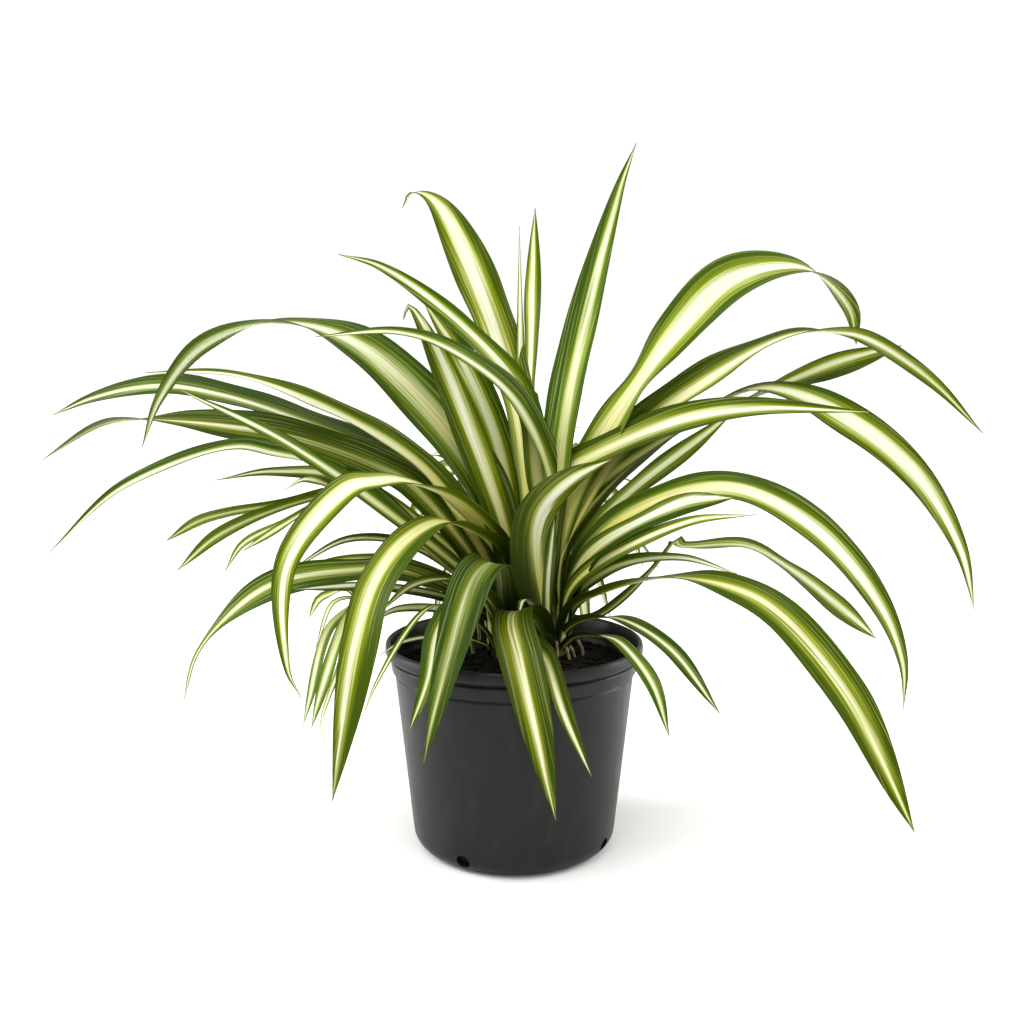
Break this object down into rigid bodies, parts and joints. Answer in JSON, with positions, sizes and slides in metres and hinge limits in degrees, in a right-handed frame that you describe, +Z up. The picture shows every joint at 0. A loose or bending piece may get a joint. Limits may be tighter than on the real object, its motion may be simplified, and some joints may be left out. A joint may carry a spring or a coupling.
{
  "type": "potted spider plant",
  "caption": "Spider plant with arching, cream-striped strap leaves and young plants on runners, growing in a round tapered plastic nursery pot filled with soil.",
  "frame": {"origin": "centre of the pot's flat underside, on the surface that it stands on", "axes": "+X to the right and +Y to the back as the plant is seen from its front, +Z up along the pot's axis"},
  "size_m": [0.6101, 0.4255, 0.4477],
  "materials": {
    "pot_plastic": "satin",
    "soil": "matte",
    "leaf_blade": "satin",
    "young_leaf": "satin"
  },
  "bodies": {
    "root": {"pot": "pot_plastic", "soil": "soil", "right_rosette": "leaf_blade", "left_rosette": "leaf_blade", "back_rosette": "leaf_blade", "upper_young_plant": "young_leaf", "lower_young_plant": "young_leaf"}
  },
  "joints": []
}
